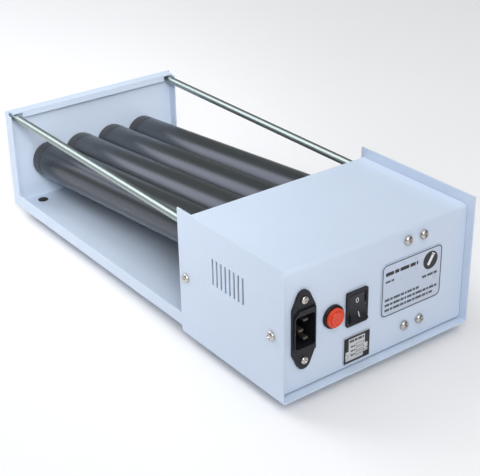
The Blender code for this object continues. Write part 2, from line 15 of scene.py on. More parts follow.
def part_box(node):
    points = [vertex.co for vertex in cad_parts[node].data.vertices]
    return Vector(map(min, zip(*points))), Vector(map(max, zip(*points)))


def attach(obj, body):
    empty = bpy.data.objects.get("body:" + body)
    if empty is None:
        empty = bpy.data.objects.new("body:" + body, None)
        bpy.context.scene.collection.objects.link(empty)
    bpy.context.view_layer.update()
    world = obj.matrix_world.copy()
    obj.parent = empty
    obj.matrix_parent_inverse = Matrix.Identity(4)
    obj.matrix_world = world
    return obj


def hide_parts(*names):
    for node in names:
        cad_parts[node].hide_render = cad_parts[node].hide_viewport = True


MM = 0.001
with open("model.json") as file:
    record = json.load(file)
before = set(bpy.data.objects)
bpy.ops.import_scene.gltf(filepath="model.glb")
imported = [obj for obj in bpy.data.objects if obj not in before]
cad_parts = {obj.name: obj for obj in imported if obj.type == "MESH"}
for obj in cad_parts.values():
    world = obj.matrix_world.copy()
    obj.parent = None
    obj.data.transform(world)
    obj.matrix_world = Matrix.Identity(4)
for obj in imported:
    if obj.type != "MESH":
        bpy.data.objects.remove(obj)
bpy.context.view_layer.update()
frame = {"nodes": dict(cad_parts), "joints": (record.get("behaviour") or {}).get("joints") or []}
NODES = frame["nodes"]
JOINTS = {joint["name"]: joint for joint in frame["joints"]}

# Camera
LENS = 87.0375
SENSOR = 36.0
CAMERA_AZIMUTH = math.radians(53.9)
CAMERA_ELEVATION = math.radians(27.2)
CAMERA_ROLL = math.radians(-1.2)
CAMERA_PLACE = (0.6891, -0.4789, 0.4575)

# Floor and lights: powers are in watts, and the ceiling, a wide sun, is in watts per square metre
FLOOR_REACH = 6.0
FLOOR_ROWS = 12
WORLD_COLOUR = (0.95, 0.97, 1.0, 1.0)
WORLD_STRENGTH = 0.20
LIGHT_AIM = (0, 0, 0.06)
REAR_PLACE = (-1.09, -0.57, 1.01)
REAR_SIZE = (1.0, 1.3)
REAR_POWER = 12.0
REAR_COLOUR = (0.94, 0.96, 1.0)
KEY_PLACE = (1.61, -0.83, 1.49)
KEY_SIZE = (1.5, 1.5)
KEY_POWER = 26.0
KEY_COLOUR = (1.0, 0.985, 0.99)
CEILING_HEIGHT = 2.0
CEILING_STRENGTH = 1.05
CEILING_ANGLE = math.radians(75)
FILL_PLACE = (0.55, -0.35, 0.50)
FILL_AIM = (-0.19, 0, 0.065)
FILL_POWER = 20
FILL_ANGLE = math.radians(26)
FILL_RADIUS = 0.12

# Points closer than this, in metres, are merged
WELD = 2e-6

# Rollers
ROLLER_RADIUS = 16.2
ROLLER_BORE = 13.4
ROLLER_LENGTH = 262.5
ROLLER_CLIMB = math.radians(5.4)
# Length of the painted shade band at each roller end; the groove sits just past it
SHADED_END_LENGTH = 12.5
GROOVE_WIDTH = 0.6
GROOVE_DEPTH = 0.25

# Rods and nuts: each nut has its place along X, from the end plate, and its thickness
ROD_RADIUS = 3.2
ROD_LOW = -2.5
ROD_LENGTH = 285.5
THREAD_LENGTH = 14.0
THREAD_PITCH = 1.0
THREAD_DEPTH = 0.28
HEAD_RADIUS = 4.4
NUT_RADIUS = 4.8
NUTS = ((270.6, 2.6), (275.0, 2.6))

# Screws
PANEL_SCREW_HEAD = 3.7
MOTOR_SCREW_HEIGHT = 3.0
CHEEK_SCREW_HEIGHT = 2.4
PANEL_SCREW_SHANK = 1.8
INLET_SCREW_HEAD = 2.9
INLET_SCREW_HEIGHT = 1.6
INLET_SCREW_SHANK = 1.4

# Rocker: its faces reach from the valley between them to the ends of the arcs
ROCKER_SWING = math.radians(11)
ROCKER_REACH = 10.37
ROCKER_VALLEY = 1.5
ROCKER_DISH = 0.5
ROCKER_HALF_WIDTH = 7.25
MARK_SINK = -0.3
MARK_LIFT = 0.14
MARK_SPOT = 0.52

# Print on the plates
PRINT_LIFT = 0.04


# ---------------------------------------------------------------- materials

def tree_of(name):
    material = bpy.data.materials.new(name)
    material.use_nodes = True
    tree = material.node_tree
    return material, tree, tree.nodes["Principled BSDF"]


def coordinates(tree, stretch=(1, 1, 1), climb=0.0):
    """Object coordinates whose first axis climbs by an angle, each drawn out by its stretch."""
    source = tree.nodes.new("ShaderNodeTexCoord")
    mapping = tree.nodes.new("ShaderNodeMapping")
    mapping.vector_type = "TEXTURE"
    mapping.inputs["Rotation"].default_value = (0, -climb, 0)
    mapping.inputs["Scale"].default_value = stretch
    tree.links.new(source.outputs["Object"], mapping.inputs["Vector"])
    return mapping.outputs["Vector"]


def noise(tree, vector, scale, detail=3.0, roughness=0.5):
    node = tree.nodes.new("ShaderNodeTexNoise")
    node.inputs["Scale"].default_value = scale
    node.inputs["Detail"].default_value = detail
    node.inputs["Roughness"].default_value = roughness
    tree.links.new(vector, node.inputs["Vector"])
    return node.outputs["Fac"]


def cells(tree, vector, scale):
    node = tree.nodes.new("ShaderNodeTexVoronoi")
    node.inputs["Scale"].default_value = scale
    tree.links.new(vector, node.inputs["Vector"])
    return node.outputs["Color"]


def ramp(tree, value, stops):
    node = tree.nodes.new("ShaderNodeValToRGB")
    points = node.color_ramp.elements
    while len(points) < len(stops):
        points.new(0.5)
    for point, (position, colour) in zip(points, stops):
        point.position = position
        point.color = (*colour, 1.0)
    tree.links.new(value, node.inputs["Fac"])
    return node.outputs["Color"]


def spread(tree, value, low, high, source=(0.3, 0.7)):
    node = tree.nodes.new("ShaderNodeMapRange")
    node.inputs["From Min"].default_value = source[0]
    node.inputs["From Max"].default_value = source[1]
    node.inputs["To Min"].default_value = low
    node.inputs["To Max"].default_value = high
    tree.links.new(value, node.inputs["Value"])
    return node.outputs["Result"]


def bump(tree, shader, height, distance, strength=1.0):
    node = tree.nodes.new("ShaderNodeBump")
    node.inputs["Distance"].default_value = distance
    node.inputs["Strength"].default_value = strength
    tree.links.new(height, node.inputs["Height"])
    tree.links.new(node.outputs["Normal"], shader.inputs["Normal"])


def shade(colour, factor):
    return tuple(min(1.0, part * factor) for part in colour)


def surface(name, colour, roughness, metallic=0.0, grain=900.0, stretch=(1, 1, 1), depth=0.02,
            contrast=0.04, wander=0.05, patch=30.0, **constants):
    """A material whose colour, roughness and relief all come from noise of its own scale."""
    material, tree, shader = tree_of(name)
    shader.inputs["Metallic"].default_value = metallic
    for socket, value in constants.items():
        shader.inputs[socket.replace("_", " ")].default_value = value
    fine = noise(tree, coordinates(tree, stretch), grain, 3.0)
    broad = noise(tree, coordinates(tree, stretch), patch, 4.0, 0.6)
    tint = ramp(tree, broad, [(0.3, shade(colour, 1 - contrast)), (0.7, shade(colour, 1 + contrast))])
    tree.links.new(tint, shader.inputs["Base Color"])
    tree.links.new(spread(tree, broad, roughness - wander, roughness + wander),
                   shader.inputs["Roughness"])
    bump(tree, shader, fine, depth * MM)
    return material


def paint_and_metals():
    return {
        "paint": surface("powder_coat", (0.60, 0.695, 0.83), 0.38, grain=520, depth=0.05,
                         contrast=0.012, wander=0.05, patch=14),
        "zinc": zinc_plate(),
        "steel": surface("nickel_steel", (0.58, 0.555, 0.52), 0.27, 1.0, grain=1800,
                         depth=0.004, contrast=0.08, wander=0.07, patch=160),
        "shaft": surface("ground_steel", (0.50, 0.50, 0.50), 0.26, 1.0, grain=500,
                         stretch=(0.2, 1, 1), depth=0.006, contrast=0.08, patch=60),
        # Steel grey with a green cast; the green cast is painted reflection of greenish surroundings
        "rod": surface("polished_rod", (0.36, 0.41, 0.40), 0.36, 1.0, grain=420,
                       stretch=(33, 1, 1), depth=0.004, contrast=0.05, wander=0.05, patch=90),
        "thread": surface("rod_thread", (0.33, 0.34, 0.34), 0.38, 1.0, grain=900,
                          depth=0.01, contrast=0.15, patch=300),
        "nut": surface("nut_steel", (0.42, 0.42, 0.42), 0.33, 1.0, grain=1200, depth=0.006,
                       contrast=0.12, patch=200),
        "alloy": surface("cast_alloy", (0.52, 0.53, 0.54), 0.48, 0.9, grain=700, depth=0.08,
                         contrast=0.08, patch=50),
        "brass": surface("machined_brass", (0.72, 0.51, 0.22), 0.30, 1.0, grain=1500,
                         stretch=(10, 1, 1), depth=0.006, contrast=0.08, patch=90),
        "motor": surface("motor_steel", (0.36, 0.37, 0.39), 0.36, 0.9, grain=600,
                         stretch=(1, 10, 10), depth=0.01, contrast=0.06, patch=40),
        # Painted shade: the inlet pins' metal is darkened to the near-black of the shade deep inside
        # the socket
        "pin": surface("shaded_pin", (0.13, 0.115, 0.10), 0.42, 0.8, grain=900, stretch=(10, 1, 1),
                       depth=0.004, contrast=0.1, patch=200),
        "plate": surface("serial_aluminium", (0.66, 0.67, 0.68), 0.34, 0.85, grain=900,
                         stretch=(1, 25, 1), depth=0.006, contrast=0.05, patch=160),
    }


def plastics_and_rubber():
    return {
        "roller": roller_plastic(),
        # Painted shade: a duller, brownish band at each roller end stands in for the dim end plate
        # that the tube reflects there
        "collar": surface("roller_end_shade", (0.026, 0.024, 0.026), 0.38, grain=900, depth=0.008,
                          contrast=0.15, wander=0.04, patch=120),
        "nylon": surface("natural_nylon", (0.78, 0.77, 0.71), 0.42, grain=800, depth=0.01,
                         contrast=0.03, patch=90, Subsurface_Weight=0.15),
        "acetal": surface("black_acetal", (0.045, 0.045, 0.05), 0.36, grain=1100, depth=0.01,
                          contrast=0.15, patch=120),
        "black": surface("black_moulding", (0.010, 0.011, 0.015), 0.42, grain=2200, depth=0.012,
                         contrast=0.2, wander=0.05, patch=220, Specular_IOR_Level=0.35),
        "rocker": surface("rocker_plastic", (0.016, 0.017, 0.023), 0.32, grain=2400, depth=0.012,
                          contrast=0.2, wander=0.05, patch=260, Specular_IOR_Level=0.4),
        "red": surface("red_plastic", (0.72, 0.052, 0.014), 0.28, grain=1400, depth=0.012,
                       contrast=0.06, wander=0.05, patch=160, Subsurface_Weight=0.06),
        "rubber": surface("foot_rubber", (0.020, 0.020, 0.021), 0.78, grain=1300, depth=0.06,
                          contrast=0.25, wander=0.08, patch=180),
    }


def print_and_floor():
    return {
        "label": surface("label_film", (0.53, 0.605, 0.73), 0.30, grain=1200, depth=0.008,
                         contrast=0.01, patch=60),
        "ink": surface("black_ink", (0.014, 0.014, 0.016), 0.42, grain=1500, depth=0.01,
                       contrast=0.3, patch=500),
        "grey_ink": surface("grey_ink", (0.075, 0.08, 0.095), 0.45, grain=1500, depth=0.01,
                            contrast=0.2, patch=500),
        "white_ink": surface("white_ink", (0.80, 0.81, 0.83), 0.40, grain=1500, depth=0.01,
                             contrast=0.04, patch=400),
        "floor": surface("pale_floor", (0.91, 0.91, 0.915), 0.7, grain=60, depth=0.05,
                         contrast=0.006, wander=0.03, patch=3),
    }


def zinc_plate():
    """Zinc-plated sheet: flat spangles of slightly different brightness."""
    material, tree, shader = tree_of("zinc_plate")
    shader.inputs["Metallic"].default_value = 0.9
    vector = coordinates(tree)
    spangle = cells(tree, vector, 260)
    cloud = noise(tree, vector, 45, 4.0, 0.6)
    tint = ramp(tree, spangle, [(0.0, (0.50, 0.51, 0.53)), (1.0, (0.63, 0.64, 0.67))])
    tree.links.new(tint, shader.inputs["Base Color"])
    tree.links.new(spread(tree, cloud, 0.33, 0.50), shader.inputs["Roughness"])
    bump(tree, shader, cloud, 0.01 * MM)
    return material


def roller_plastic():
    """Dark tube with faint drawn streaks along it, a slightly uneven gloss, and painted reflection
    tints in its base and its gloss.
    """
    material, tree, shader = tree_of("roller_tube_plastic")
    along = coordinates(tree, (50, 1, 1), ROLLER_CLIMB)
    streak = noise(tree, along, 420, 3.0, 0.55)
    cloud = noise(tree, coordinates(tree, (2, 1, 1), ROLLER_CLIMB), 34, 4.0, 0.6)
    # Painted reflection: the slight green in the dark base copies the greenish surroundings that the
    # tube reflects
    tint = ramp(tree, streak, [(0.25, (0.022, 0.027, 0.024)), (0.75, (0.030, 0.035, 0.033))])
    tree.links.new(tint, shader.inputs["Base Color"])
    tree.links.new(spread(tree, cloud, 0.27, 0.30), shader.inputs["Roughness"])
    shader.inputs["Specular IOR Level"].default_value = 0.78
    # Painted reflection: the blue specular tint gives the highlight stripes a lavender cast that
    # belongs to the light and surroundings, not the tube
    shader.inputs["Specular Tint"].default_value = (0.68, 0.75, 1.0, 1.0)
    return material


# ---------------------------------------------------------------- mesh helpers

def loft(bm, rings):
    """Quads between each ring and the next, the last ring closing on the first."""
    count = len(rings[0])
    for first, second in zip(rings, rings[1:] + rings[:1]):
        for i in range(count):
            j = (i + 1) % count
            bm.faces.new((first[i], first[j], second[j], second[i]))


def new_piece(name, bm, materials, smooth=35.0):
    """A mesh object from bmesh data in metres, smooth-shaded up to the given angle."""
    bmesh.ops.remove_doubles(bm, verts=bm.verts, dist=WELD)
    bmesh.ops.recalc_face_normals(bm, faces=bm.faces)
    mesh = bpy.data.meshes.new(name)
    bm.to_mesh(mesh)
    bm.free()
    for material in materials:
        mesh.materials.append(MATERIALS[material])
    mesh.shade_smooth()
    mesh.set_sharp_from_angle(angle=math.radians(smooth))
    item = bpy.data.objects.new(name, mesh)
    bpy.context.scene.collection.objects.link(item)
    return item


def settle(item, body, slot, *replaced):
    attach(item, body)
    if replaced:
        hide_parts(*replaced)
    return item


def apply_modifiers(item, materials):
    """Gives the object a mesh of its own that has its modifiers' result and these materials."""
    evaluated = item.evaluated_get(bpy.context.evaluated_depsgraph_get())
    mesh = bpy.data.meshes.new_from_object(evaluated)
    item.modifiers.clear()
    item.data = mesh
    mesh.materials.clear()
    for material in materials:
        mesh.materials.append(MATERIALS[material])


def axes_along(direction):
    """A rotation whose own Z lies along the direction."""
    return Vector(direction).to_track_quat("Z", "Y").to_matrix().to_4x4()


def revolve(name, profile, origin, direction, segments, materials, closed=False, bands=(),
            smooth=35.0):
    """(radius, along) pairs turned about an axis; bands give the material of chosen rings."""
    bm = bmesh.new()
    rings = []
    for radius, along in profile:
        if radius < 1e-6:
            rings.append([bm.verts.new((0, 0, along * MM))])
            continue
        turn = 2 * math.pi / segments
        rings.append([bm.verts.new((radius * MM * math.cos(i * turn),
                                    radius * MM * math.sin(i * turn), along * MM))
                      for i in range(segments)])
    pairs = list(zip(rings, rings[1:]))
    if closed:
        pairs.append((rings[-1], rings[0]))
    for index, (low, high) in enumerate(pairs):
        for i in range(segments):
            j = (i + 1) % segments
            corners = [low[i % len(low)], low[j % len(low)], high[j % len(high)],
                       high[i % len(high)]]
            unique = list(dict.fromkeys(corners))
            if len(unique) > 2:
                face = bm.faces.new(unique)
                face.material_index = bands[index] if index < len(bands) else 0
    place = Matrix.Translation(Vector(origin)) @ axes_along(direction)
    bmesh.ops.transform(bm, matrix=place, verts=bm.verts)
    return new_piece(name, bm, materials, smooth)


def rounded_path(corners, radius, steps=4):
    """A closed flat outline with each corner rounded."""
    points = []
    count = len(corners)
    for index, corner in enumerate(corners):
        here = Vector(corner)
        before = (Vector(corners[index - 1]) - here).normalized()
        after = (Vector(corners[(index + 1) % count]) - here).normalized()
        half = before.angle(after) / 2
        reach = radius / math.tan(half)
        start, end = here + before * reach, here + after * reach
        centre = here + (before + after).normalized() * radius / math.sin(half)
        first = math.atan2(*(start - centre).yx)
        swing = math.atan2(*(end - centre).yx) - first
        swing = (swing + math.pi) % (2 * math.pi) - math.pi
        for step in range(steps + 1):
            angle = first + swing * step / steps
            points.append((centre.x + radius * math.cos(angle),
                           centre.y + radius * math.sin(angle)))
    return points


def rectangle(left, low, right, high):
    return [(left, low), (right, low), (right, high), (left, high)]


def slab(name, outline, low, high, matrix, materials, edge=0.0, smooth=35.0):
    """A flat outline given thickness along the matrix's own Z, with a softened top edge."""
    bm = bmesh.new()
    base = [bm.verts.new((u * MM, v * MM, low * MM)) for u, v in outline]
    face = bm.faces.new(base)
    raised = bmesh.ops.extrude_face_region(bm, geom=[face])
    top = [item for item in raised["geom"] if isinstance(item, bmesh.types.BMVert)]
    bmesh.ops.translate(bm, vec=(0, 0, (high - low) * MM), verts=top)
    if edge:
        rim = [item for item in raised["geom"] if isinstance(item, bmesh.types.BMEdge)]
        bmesh.ops.bevel(bm, geom=rim, offset=edge * MM, segments=3, profile=0.5,
                        affect="EDGES")
    bmesh.ops.transform(bm, matrix=matrix, verts=bm.verts)
    return new_piece(name, bm, materials, smooth)


def refined(node, materials, width=0.25, segments=2):
    """A copy of a CAD node with its triangles merged and its sharp edges softened."""
    source = NODES[node]
    item = bpy.data.objects.new(node + "_skin", source.data.copy())
    bpy.context.scene.collection.objects.link(item)
    weld = item.modifiers.new("weld", "WELD")
    weld.merge_threshold = WELD
    flat = item.modifiers.new("flat", "DECIMATE")
    flat.decimate_type = "DISSOLVE"
    flat.angle_limit = math.radians(0.5)
    soft = item.modifiers.new("soft", "BEVEL")
    soft.width = width * MM
    soft.segments = segments
    soft.limit_method = "ANGLE"
    soft.angle_limit = math.radians(40)
    soft.use_clamp_overlap = True
    soft.harden_normals = False
    for polygon in item.data.polygons:
        polygon.use_smooth = True
    level = item.modifiers.new("level", "WEIGHTED_NORMAL")
    level.weight = 100
    level.keep_sharp = False
    apply_modifiers(item, materials)
    return item


def panel_matrix(x, y, z):
    """Flat pieces on the front panel: own X runs across the panel and own Y runs up it."""
    turned = Matrix(((0, 0, 1, 0), (1, 0, 0, 0), (0, 1, 0, 0), (0, 0, 0, 1)))
    return Matrix.Translation(Vector((x, y, z))) @ turned


# ---------------------------------------------------------------- pieces

def dress_sheet_metal():
    for node in ("tray", "shell", "cover"):
        settle(refined(node, ["paint"], 0.3), "base", "painted_sheet", node)
    settle(refined("bulkhead", ["paint"], 0.25), "base", "painted_sheet", "bulkhead")
    settle(refined("motor_bracket", ["zinc"], 0.3), "base", "zinc_plate", "motor_bracket")


def dress_rollers():
    for number in range(1, 5):
        joint = JOINTS[f"roller_{number}_spin"]
        body = f"roller_{number}"
        skin = roller_skin(f"roller_skin_{number}", joint)
        settle(skin, body, "roller_plastic", f"roller_tube_{number}")
        core = refined(f"roller_core_{number}", ["shaft"], 0.2)
        settle(core, body, "steel", f"roller_core_{number}")
        gear = refined(f"roller_gear_{number}", ["nylon"], 0.15)
        settle(gear, body, "nylon", f"roller_gear_{number}")
        for kind in ("end_bush", "drive_bush"):
            bush = refined(f"{kind}_{number}", ["nylon"], 0.2)
            settle(bush, "base", "nylon", f"{kind}_{number}")


def roller_skin(name, joint):
    """Tube with rounded ends, a band of painted shade at each end and a fine groove beside each band.
    """
    outer, bore, end = ROLLER_RADIUS, ROLLER_BORE, ROLLER_LENGTH
    floor = outer - GROOVE_DEPTH
    half = [(bore, 4.0), (bore, 0.5), (bore + 0.3, 0.1), (bore + 0.7, 0.0), (outer - 0.8, 0.0),
            (outer - 0.25, 0.2), (outer, 0.75), (outer, SHADED_END_LENGTH - 0.1),
            (floor, SHADED_END_LENGTH), (floor, SHADED_END_LENGTH + GROOVE_WIDTH),
            (outer, SHADED_END_LENGTH + GROOVE_WIDTH + 0.1)]
    other = [(radius, end - along) for radius, along in reversed(half)]
    steps = 6
    stretch = [(outer, half[-1][1] + (other[0][1] - half[-1][1]) * step / steps)
               for step in range(1, steps)]
    profile = half + stretch + other
    shaded_end_rings = len(half) - 1
    # Rings at both ends take the painted shade band, and the middle takes the tube
    bands = [1] * shaded_end_rings + [0] * steps + [1] * shaded_end_rings + [1]
    return revolve(name, profile, joint["pos_m"], joint["axis"], 96, ["roller", "collar"],
                   closed=True, bands=bands, smooth=50)


def dress_rods():
    for number in (1, 2):
        low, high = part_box(f"guard_rod_{number}")
        middle = (low + high) / 2
        start = Vector((low.x, middle.y, middle.z))
        rod = threaded_rod(f"guard_rod_skin_{number}", start)
        settle(rod, "base", "bright_steel", f"guard_rod_{number}")
        head = [(0, 0), (2.2, 0.0), (3.4, 0.15), (4.1, 0.5), (HEAD_RADIUS, 1.1),
                (HEAD_RADIUS, 1.9), (4.2, 2.1), (ROD_RADIUS - 0.2, 2.1), (0, 2.1)]
        dome = revolve(f"rod_{number}_head", head, start + Vector((0.1 * MM, 0, 0)), (1, 0, 0),
                       48, ["nut"])
        settle(dome, "base", "steel")
        for place, (along, thickness) in enumerate(NUTS, 1):
            origin = start + Vector(((along - ROD_LOW) * MM, 0, 0))
            nut = hex_nut(f"rod_{number}_nut_{place}", origin, thickness)
            settle(nut, "base", "steel")


def thread_radius(along, turn):
    """The cut thread's radius at a length along the rod and a share of a turn."""
    phase = (along / THREAD_PITCH + turn) % 1.0
    chamfer = max(0.0, 0.5 - (ROD_LENGTH - along))
    return ROD_RADIUS - (THREAD_DEPTH * (1 - abs(2 * phase - 1)) + chamfer)


def threaded_rod(name, start):
    """A bright rod whose far end carries a cut thread as far as its nuts need."""
    cut_from = ROD_LENGTH - THREAD_LENGTH
    step = THREAD_PITCH / 4
    rows = [0.3, 0.8, 2.0, 4.0, 60.0, 120.0, 180.0, 230.0, cut_from - 1, cut_from]
    while rows[-1] < ROD_LENGTH - step:
        rows.append(rows[-1] + step)
    rows.append(ROD_LENGTH)
    segments = 40
    bm = bmesh.new()
    rings = []
    for along in rows:
        ring = []
        for i in range(segments):
            radius = thread_radius(along, i / segments) if along >= cut_from else ROD_RADIUS
            angle = 2 * math.pi * i / segments
            ring.append(bm.verts.new((along * MM, radius * MM * math.cos(angle),
                                      radius * MM * math.sin(angle))))
        rings.append(ring)
    for index, (first, second) in enumerate(zip(rings, rings[1:])):
        middle = (rows[index] + rows[index + 1]) / 2
        for i in range(segments):
            j = (i + 1) % segments
            face = bm.faces.new((first[i], first[j], second[j], second[i]))
            face.material_index = int(middle >= cut_from)
    bm.faces.new(rings[0])
    bm.faces.new(rings[-1])
    bmesh.ops.transform(bm, matrix=Matrix.Translation(start), verts=bm.verts)
    return new_piece(name, bm, ["rod", "thread"], 50)


def hex_nut(name, origin, thickness):
    """Hexagonal nut with chamfered corners and a countersunk bore."""
    segments = 48
    flat = NUT_RADIUS * math.cos(math.pi / 6)
    bore = ROD_RADIUS + 0.02
    bm = bmesh.new()
    rows = [(bore, 0.35, False), (bore + 0.35, 0.0, False), (flat - 0.25, 0.0, False),
            (0.0, 0.35, True), (0.0, thickness - 0.35, True), (flat - 0.25, thickness, False),
            (bore + 0.35, thickness, False), (bore, thickness - 0.35, False)]
    rings = []
    for radius, along, shaped in rows:
        ring = []
        for i in range(segments):
            angle = 2 * math.pi * i / segments
            reach, lift = radius, 0.0
            if shaped:
                wrapped = (angle + math.pi / 6) % (math.pi / 3) - math.pi / 6
                reach = flat / math.cos(wrapped)
                lift = (reach - flat) * 0.45 * (1 if along < thickness / 2 else -1)
            ring.append(bm.verts.new(((along + lift) * MM, reach * MM * math.cos(angle),
                                      reach * MM * math.sin(angle))))
        rings.append(ring)
    loft(bm, rings)
    bmesh.ops.transform(bm, matrix=Matrix.Translation(origin), verts=bm.verts)
    return new_piece(name, bm, ["nut"], 30)


def cross_recess(name, matrix, span, width, depth):
    """A tapered cross that cuts a screw's driver recess."""
    bm = bmesh.new()
    arm, side = span / 2, width / 2
    plus = [(arm, -side), (arm, side), (side, side), (side, arm), (-side, arm), (-side, side),
            (-arm, side), (-arm, -side), (-side, -side), (-side, -arm), (side, -arm),
            (side, -side)]
    upper = [bm.verts.new((x * MM, y * MM, 0.4 * MM)) for x, y in plus]
    lower = [bm.verts.new((x * 0.45 * MM, y * 0.7 * MM, -depth * MM)) if abs(x) > abs(y)
             else bm.verts.new((x * 0.7 * MM, y * 0.45 * MM, -depth * MM))
             for x, y in plus]
    bm.faces.new(upper)
    bm.faces.new(list(reversed(lower)))
    for i in range(len(plus)):
        j = (i + 1) % len(plus)
        bm.faces.new((upper[i], upper[j], lower[j], lower[i]))
    bmesh.ops.transform(bm, matrix=matrix, verts=bm.verts)
    return new_piece(name, bm, ["steel"])


def pan_screw(node, direction, head_radius, head_height, shank_radius, turn):
    """A pan-head screw with a cross recess, in place of its plain CAD screw."""
    low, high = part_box(node)
    way = Vector(direction)
    middle = (low + high) / 2
    axis = max(range(3), key=lambda i: abs(way[i]))
    reach = (high - low)[axis] / 2
    tip = middle + way * reach
    crown = ((0, 0), (0.42, 0.06), (0.7, 0.18), (0.88, 0.38), (0.97, 0.62), (1, 0.85), (0.985, 1))
    end = -2 * reach / MM
    profile = [(head_radius * out, -head_height * down) for out, down in crown]
    profile += [(shank_radius, -head_height), (shank_radius, end), (0, end)]
    screw = revolve(node + "_detail", profile, tip, way, 40, ["steel"])
    place = Matrix.Translation(tip) @ axes_along(way) @ Matrix.Rotation(turn, 4, "Z")
    tool = cross_recess(node + "_tool", place, head_radius * 1.05, head_radius * 0.27,
                        head_height * 0.55)
    boolean = screw.modifiers.new("recess", "BOOLEAN")
    boolean.operation = "DIFFERENCE"
    boolean.solver = "EXACT"
    boolean.object = tool
    apply_modifiers(screw, ["steel"])
    screw.data.shade_smooth()
    screw.data.set_sharp_from_angle(angle=math.radians(30))
    bpy.data.objects.remove(tool)
    settle(screw, "base", "steel", node)


def dress_screws():
    for number in range(1, 5):
        pan_screw(f"motor_screw_{number}", (1, 0, 0), PANEL_SCREW_HEAD, MOTOR_SCREW_HEIGHT,
                  PANEL_SCREW_SHANK, 0.3 * number)
        side = -1 if number % 2 else 1
        pan_screw(f"cheek_screw_{number}", (0, side, 0), PANEL_SCREW_HEAD, CHEEK_SCREW_HEIGHT,
                  PANEL_SCREW_SHANK, 0.25 * number)
    for number in (1, 2):
        pan_screw(f"inlet_screw_{number}", (1, 0, 0), INLET_SCREW_HEAD, INLET_SCREW_HEIGHT,
                  INLET_SCREW_SHANK, 0.5 * number)


def dress_inlet():
    body = refined("inlet_body", ["black"], 0.35, 3)
    settle(body, "base", "black_plastic", "inlet_body")
    for pin in ("pin_live", "pin_neutral", "pin_earth"):
        settle(refined(pin, ["pin"], 0.45, 3), "base", "bright_steel", pin)


def dress_button():
    """Collar with a soft rim, and a cap with a raised disc that is dished for a fingertip."""
    low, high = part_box("button_collar")
    cap_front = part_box("button_cap")[1].x
    y, z = (low.y + high.y) / 2, (low.z + high.z) / 2
    face = high.x - 2.0 * MM
    collar = [(4.35, 0.4), (7.5, 0.4), (7.6, 0.55), (7.6, 1.65), (7.7, 1.88), (7.9, 2.0),
              (8.2, 1.96), (8.5, 1.78), (8.68, 1.4), (8.7, 0.0), (5.9, 0.0), (5.9, -16.0),
              (4.35, -16.0)]
    ring = revolve("button_collar_ring", collar, (face, y, z), (1, 0, 0), 64, ["black"],
                   closed=True)
    settle(ring, "base", "black_plastic", "button_collar")
    cap = [(0, 2.95), (2.0, 2.97), (3.5, 3.08), (4.4, 3.26), (4.75, 3.36), (4.95, 3.4),
           (5.15, 3.34), (5.33, 3.16), (5.4, 2.85), (5.4, 2.2), (5.5, 2.0), (5.75, 1.9),
           (6.6, 1.9), (6.95, 1.8), (7.15, 1.55), (7.2, 1.2), (7.2, 0.0), (4.0, 0.0),
           (4.0, -17.0), (0, -17.0)]
    origin = (cap_front - 3.4 * MM, y, z)
    piece = revolve("button_cap_detail", cap, origin, (1, 0, 0), 64, ["red"])
    settle(piece, "button", "red_plastic", "button_cap")


def dress_rocker():
    body = refined("rocker_body", ["black"], 0.3, 3)
    settle(body, "base", "black_plastic", "rocker_body")
    joint = JOINTS["rocker_tilt"]
    place = Matrix.Translation(Vector(joint["pos_m"])) @ Matrix.Rotation(-ROCKER_SWING, 4, "Y")
    side, lip = rocker_side()
    bm = bmesh.new()
    near = [bm.verts.new((x * MM, -ROCKER_HALF_WIDTH * MM, height * MM)) for x, height in side]
    face = bm.faces.new(near)
    raised = bmesh.ops.extrude_face_region(bm, geom=[face])
    top = [item for item in raised["geom"] if isinstance(item, bmesh.types.BMVert)]
    bmesh.ops.translate(bm, vec=(0, 2 * ROCKER_HALF_WIDTH * MM, 0), verts=top)
    rims = [edge for edge in bm.edges
            if abs(edge.verts[0].co.y - edge.verts[1].co.y) < 1e-7]
    bmesh.ops.bevel(bm, geom=rims, offset=0.45 * MM, segments=3, profile=0.5, affect="EDGES",
                    clamp_overlap=True)
    bmesh.ops.transform(bm, matrix=place, verts=bm.verts)
    paddle = new_piece("rocker_paddle", bm, ["rocker"], 28)
    settle(paddle, "rocker", "black_plastic", "rocker")
    rocker_marks(place, lip)


def rocker_side():
    """The rocker's outline in X and height, and the lip where its upper face meets its arc."""
    start, end = math.radians(19), math.radians(-14)
    steps = 12
    arc = [(ROCKER_REACH * math.sin(start + (end - start) * i / steps),
            ROCKER_REACH * math.cos(start + (end - start) * i / steps)) for i in range(steps + 1)]
    lip = arc[0]
    dish = [(ROCKER_VALLEY + (lip[0] - ROCKER_VALLEY) * t - ROCKER_DISH * math.sin(math.pi * t),
             lip[1] * t) for t in (0.2, 0.4, 0.6, 0.8)]
    side = [(ROCKER_VALLEY, 0)] + dish + arc + [(-6, 4)]
    side += [(x, -height) for x, height in reversed(side[1:])]
    return side, lip


def rocker_marks(place, lip):
    """The ring and bar that mean off and on, one on each half."""
    slope = math.atan2(lip[0] - ROCKER_VALLEY, lip[1])
    for name, way in (("off", 1), ("on", -1)):
        middle = lip[1] * MARK_SPOT
        lift = ROCKER_VALLEY + (lip[0] - ROCKER_VALLEY) * MARK_SPOT - 0.47
        up = Vector((math.sin(slope), 0, way * math.cos(slope)))
        out = Vector((math.cos(slope), 0, -way * math.sin(slope)))
        across = up.cross(out) * -1
        turned = Matrix((across, up, out)).transposed().to_4x4()
        spot = place @ Matrix.Translation(Vector((lift, 0, way * middle)) * MM) @ turned
        if name == "off":
            mark = ring_mark("rocker_mark_off", spot, 1.25, 1.9, 0.42)
        else:
            mark = slab("rocker_mark_on", rectangle(-0.26, -1.8, 0.26, 1.8), MARK_SINK,
                        MARK_LIFT, spot, ["white_ink"], 0.03)
        settle(mark, "rocker", "black_plastic")


